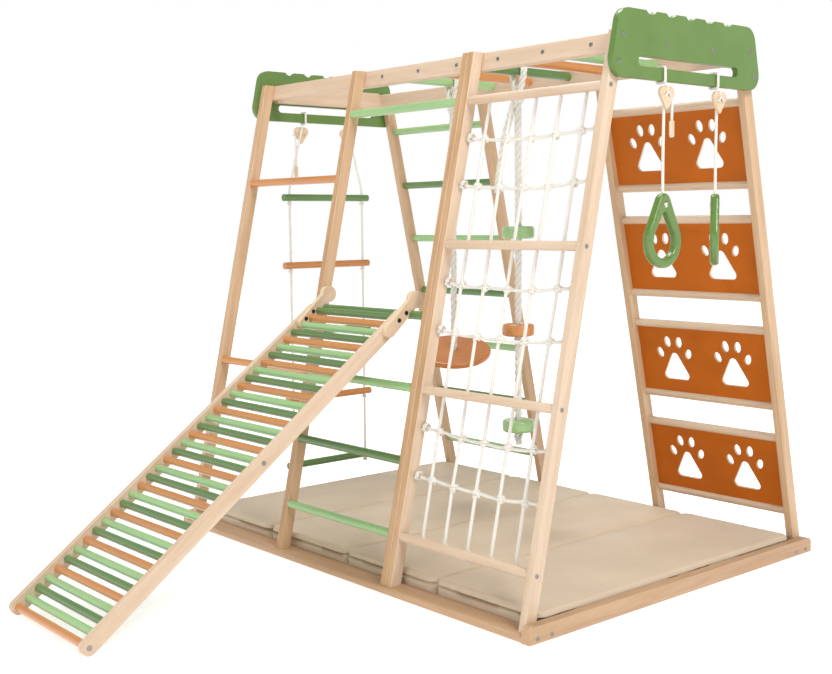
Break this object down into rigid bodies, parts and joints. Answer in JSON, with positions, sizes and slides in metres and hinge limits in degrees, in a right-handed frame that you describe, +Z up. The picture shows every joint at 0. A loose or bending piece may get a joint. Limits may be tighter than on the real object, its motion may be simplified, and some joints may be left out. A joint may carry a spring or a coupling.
{
  "type": "indoor climbing gym with roller slide",
  "caption": "Indoor wooden climbing gym: A-frame walls with a hook-on roller slide, climbing net, rope ladder, hand rings, disc swing, step rope and floor mats.",
  "frame": {"origin": "on the floor, at the centre of the base frame", "axes": "+X along the front to the ring end, +Y from the slide side to the paw wall, +Z up"},
  "size_m": [1.6821, 2.0903, 1.553],
  "materials": {
    "birch": "sanded, clear oil",
    "light_green_paint": "satin stain",
    "dark_green_paint": "satin stain",
    "orange_paint": "satin stain",
    "board_green": "satin paint",
    "panel_orange": "satin paint",
    "thin_rope": "braided cord",
    "twisted_rope": "three-strand twisted rope",
    "mat_cover": "matt coated cover",
    "screw_steel": "zinc plated"
  },
  "bodies": {
    "gym_frame": {"legs": "birch", "top_beams": "birch", "end_boards": "board_green", "base_frame": "birch", "floor_mats": "mat_cover", "frame_screws": "screw_steel", "natural_rungs": "birch", "orange_rungs": "orange_paint", "light_green_rungs": "light_green_paint", "dark_green_rungs": "dark_green_paint", "paw_panels": "panel_orange", "net_and_loops": "thin_rope"},
    "slide": {"slide_rails": "birch", "slide_tie_bars": "dark_green_paint", "slide_screws": "screw_steel"},
    "near_ring_hanger": {"ring_near_rope": "thin_rope", "ring_near_toggle": "birch"},
    "near_ring": {"ring_near": "board_green"},
    "far_ring_hanger": {"ring_far_rope": "thin_rope", "ring_far_toggle": "birch"},
    "far_ring": {"ring_far": "board_green"},
    "rope_ladder": {"rope_ladder_rungs": "dark_green_paint", "rope_ladder_ropes": "thin_rope"},
    "disc_swing": {"swing_rope": "twisted_rope"},
    "disc_seat": {"swing_seat": "orange_paint"},
    "step_swing": {"step_rope": "twisted_rope", "step_discs": "light_green_paint"},
    "roller_02": {"slide_roller_02": "light_green_paint"},
    "roller_03": {"slide_roller_03": "dark_green_paint"},
    "roller_04": {"slide_roller_04": "light_green_paint"},
    "roller_05": {"slide_roller_05": "orange_paint"},
    "roller_06": {"slide_roller_06": "dark_green_paint"},
    "roller_07": {"slide_roller_07": "light_green_paint"},
    "roller_08": {"slide_roller_08": "orange_paint"},
    "roller_09": {"slide_roller_09": "dark_green_paint"},
    "roller_10": {"slide_roller_10": "light_green_paint"},
    "roller_11": {"slide_roller_11": "orange_paint"},
    "roller_12": {"slide_roller_12": "dark_green_paint"},
    "roller_13": {"slide_roller_13": "light_green_paint"},
    "roller_14": {"slide_roller_14": "orange_paint"},
    "roller_15": {"slide_roller_15": "dark_green_paint"},
    "roller_16": {"slide_roller_16": "light_green_paint"},
    "roller_17": {"slide_roller_17": "orange_paint"},
    "roller_18": {"slide_roller_18": "dark_green_paint"},
    "roller_20": {"slide_roller_20": "orange_paint"},
    "roller_21": {"slide_roller_21": "dark_green_paint"},
    "roller_22": {"slide_roller_22": "light_green_paint"},
    "roller_23": {"slide_roller_23": "orange_paint"},
    "roller_24": {"slide_roller_24": "dark_green_paint"},
    "roller_25": {"slide_roller_25": "light_green_paint"},
    "roller_26": {"slide_roller_26": "orange_paint"},
    "roller_27": {"slide_roller_27": "dark_green_paint"},
    "roller_28": {"slide_roller_28": "light_green_paint"},
    "roller_29": {"slide_roller_29": "orange_paint"},
    "roller_30": {"slide_roller_30": "dark_green_paint"},
    "roller_31": {"slide_roller_31": "light_green_paint"},
    "roller_32": {"slide_roller_32": "orange_paint"},
    "roller_33": {"slide_roller_33": "dark_green_paint"},
    "roller_34": {"slide_roller_34": "light_green_paint"},
    "roller_35": {"slide_roller_35": "orange_paint"}
  },
  "joints": [
    {"name": "slide_lift", "type": "hinge", "parent": "gym_frame", "child": "slide", "pos_m": [-0.012, -0.43542, 0.759], "axis": [-1, 0, 0], "range_deg": [0, 35]},
    {"name": "near_ring_swing", "type": "hinge", "parent": "gym_frame", "child": "near_ring_hanger", "pos_m": [0.81, -0.113, 1.3684], "axis": [0, 1, 0], "range_deg": [-30, 30]},
    {"name": "near_ring_twist", "type": "hinge", "parent": "near_ring_hanger", "child": "near_ring", "pos_m": [0.81, -0.113, 1.062], "axis": [0, 0, 1], "range_deg": [-90, 90]},
    {"name": "far_ring_swing", "type": "hinge", "parent": "gym_frame", "child": "far_ring_hanger", "pos_m": [0.81, 0.117, 1.3684], "axis": [0, 1, 0], "range_deg": [-30, 30]},
    {"name": "far_ring_twist", "type": "hinge", "parent": "far_ring_hanger", "child": "far_ring", "pos_m": [0.81, 0.117, 1.062], "axis": [0, 0, 1], "range_deg": [-90, 90]},
    {"name": "rope_ladder_swing", "type": "hinge", "parent": "gym_frame", "child": "rope_ladder", "pos_m": [-0.81, 0, 1.3684], "axis": [0, 1, 0], "range_deg": [-25, 25]},
    {"name": "disc_swing_swing", "type": "hinge", "parent": "gym_frame", "child": "disc_swing", "pos_m": [-0.17025, 0.045, 1.476], "axis": [0, 1, 0], "range_deg": [-12, 25]},
    {"name": "disc_seat_spin", "type": "hinge", "parent": "disc_swing", "child": "disc_seat", "pos_m": [-0.17025, 0.045, 0.59], "axis": [0, 0, 1], "continuous": true},
    {"name": "step_rope_swing", "type": "hinge", "parent": "gym_frame", "child": "step_swing", "pos_m": [0.17075, 0.003, 1.476], "axis": [0, 1, 0], "range_deg": [-25, 10]},
    {"name": "roller_02_turn", "type": "hinge", "parent": "slide", "child": "roller_02", "pos_m": [-0.056, -1.41721, 0.04092], "axis": [1, 0, 0], "continuous": true},
    {"name": "roller_03_turn", "type": "hinge", "parent": "slide", "child": "roller_03", "pos_m": [-0.056, -1.38915, 0.06183], "axis": [1, 0, 0], "continuous": true},
    {"name": "roller_04_turn", "type": "hinge", "parent": "slide", "child": "roller_04", "pos_m": [-0.056, -1.36108, 0.08275], "axis": [1, 0, 0], "continuous": true},
    {"name": "roller_05_turn", "type": "hinge", "parent": "slide", "child": "roller_05", "pos_m": [-0.056, -1.33302, 0.10367], "axis": [1, 0, 0], "continuous": true},
    {"name": "roller_06_turn", "type": "hinge", "parent": "slide", "child": "roller_06", "pos_m": [-0.056, -1.30496, 0.12458], "axis": [1, 0, 0], "continuous": true},
    {"name": "roller_07_turn", "type": "hinge", "parent": "slide", "child": "roller_07", "pos_m": [-0.056, -1.2769, 0.1455], "axis": [1, 0, 0], "continuous": true},
    {"name": "roller_08_turn", "type": "hinge", "parent": "slide", "child": "roller_08", "pos_m": [-0.056, -1.24883, 0.16642], "axis": [1, 0, 0], "continuous": true},
    {"name": "roller_09_turn", "type": "hinge", "parent": "slide", "child": "roller_09", "pos_m": [-0.056, -1.22077, 0.18734], "axis": [1, 0, 0], "continuous": true},
    {"name": "roller_10_turn", "type": "hinge", "parent": "slide", "child": "roller_10", "pos_m": [-0.056, -1.19271, 0.20825], "axis": [1, 0, 0], "continuous": true},
    {"name": "roller_11_turn", "type": "hinge", "parent": "slide", "child": "roller_11", "pos_m": [-0.056, -1.16465, 0.22917], "axis": [1, 0, 0], "continuous": true},
    {"name": "roller_12_turn", "type": "hinge", "parent": "slide", "child": "roller_12", "pos_m": [-0.056, -1.13658, 0.25009], "axis": [1, 0, 0], "continuous": true},
    {"name": "roller_13_turn", "type": "hinge", "parent": "slide", "child": "roller_13", "pos_m": [-0.056, -1.10852, 0.271], "axis": [1, 0, 0], "continuous": true},
    {"name": "roller_14_turn", "type": "hinge", "parent": "slide", "child": "roller_14", "pos_m": [-0.056, -1.08046, 0.29192], "axis": [1, 0, 0], "continuous": true},
    {"name": "roller_15_turn", "type": "hinge", "parent": "slide", "child": "roller_15", "pos_m": [-0.056, -1.0524, 0.31284], "axis": [1, 0, 0], "continuous": true},
    {"name": "roller_16_turn", "type": "hinge", "parent": "slide", "child": "roller_16", "pos_m": [-0.056, -1.02434, 0.33375], "axis": [1, 0, 0], "continuous": true},
    {"name": "roller_17_turn", "type": "hinge", "parent": "slide", "child": "roller_17", "pos_m": [-0.056, -0.99628, 0.35467], "axis": [1, 0, 0], "continuous": true},
    {"name": "roller_18_turn", "type": "hinge", "parent": "slide", "child": "roller_18", "pos_m": [-0.056, -0.96821, 0.37559], "axis": [1, 0, 0], "continuous": true},
    {"name": "roller_20_turn", "type": "hinge", "parent": "slide", "child": "roller_20", "pos_m": [-0.056, -0.91209, 0.41742], "axis": [1, 0, 0], "continuous": true},
    {"name": "roller_21_turn", "type": "hinge", "parent": "slide", "child": "roller_21", "pos_m": [-0.056, -0.88403, 0.43834], "axis": [1, 0, 0], "continuous": true},
    {"name": "roller_22_turn", "type": "hinge", "parent": "slide", "child": "roller_22", "pos_m": [-0.056, -0.85596, 0.45925], "axis": [1, 0, 0], "continuous": true},
    {"name": "roller_23_turn", "type": "hinge", "parent": "slide", "child": "roller_23", "pos_m": [-0.056, -0.8279, 0.48017], "axis": [1, 0, 0], "continuous": true},
    {"name": "roller_24_turn", "type": "hinge", "parent": "slide", "child": "roller_24", "pos_m": [-0.056, -0.79984, 0.50109], "axis": [1, 0, 0], "continuous": true},
    {"name": "roller_25_turn", "type": "hinge", "parent": "slide", "child": "roller_25", "pos_m": [-0.056, -0.77178, 0.52201], "axis": [1, 0, 0], "continuous": true},
    {"name": "roller_26_turn", "type": "hinge", "parent": "slide", "child": "roller_26", "pos_m": [-0.056, -0.74372, 0.54292], "axis": [1, 0, 0], "continuous": true},
    {"name": "roller_27_turn", "type": "hinge", "parent": "slide", "child": "roller_27", "pos_m": [-0.056, -0.71565, 0.56384], "axis": [1, 0, 0], "continuous": true},
    {"name": "roller_28_turn", "type": "hinge", "parent": "slide", "child": "roller_28", "pos_m": [-0.056, -0.68759, 0.58476], "axis": [1, 0, 0], "continuous": true},
    {"name": "roller_29_turn", "type": "hinge", "parent": "slide", "child": "roller_29", "pos_m": [-0.056, -0.65953, 0.60567], "axis": [1, 0, 0], "continuous": true},
    {"name": "roller_30_turn", "type": "hinge", "parent": "slide", "child": "roller_30", "pos_m": [-0.056, -0.63147, 0.62659], "axis": [1, 0, 0], "continuous": true},
    {"name": "roller_31_turn", "type": "hinge", "parent": "slide", "child": "roller_31", "pos_m": [-0.056, -0.6034, 0.64751], "axis": [1, 0, 0], "continuous": true},
    {"name": "roller_32_turn", "type": "hinge", "parent": "slide", "child": "roller_32", "pos_m": [-0.056, -0.57534, 0.66842], "axis": [1, 0, 0], "continuous": true},
    {"name": "roller_33_turn", "type": "hinge", "parent": "slide", "child": "roller_33", "pos_m": [-0.056, -0.54728, 0.68934], "axis": [1, 0, 0], "continuous": true},
    {"name": "roller_34_turn", "type": "hinge", "parent": "slide", "child": "roller_34", "pos_m": [-0.056, -0.51922, 0.71026], "axis": [1, 0, 0], "continuous": true},
    {"name": "roller_35_turn", "type": "hinge", "parent": "slide", "child": "roller_35", "pos_m": [-0.056, -0.49116, 0.73117], "axis": [1, 0, 0], "continuous": true}
  ]
}
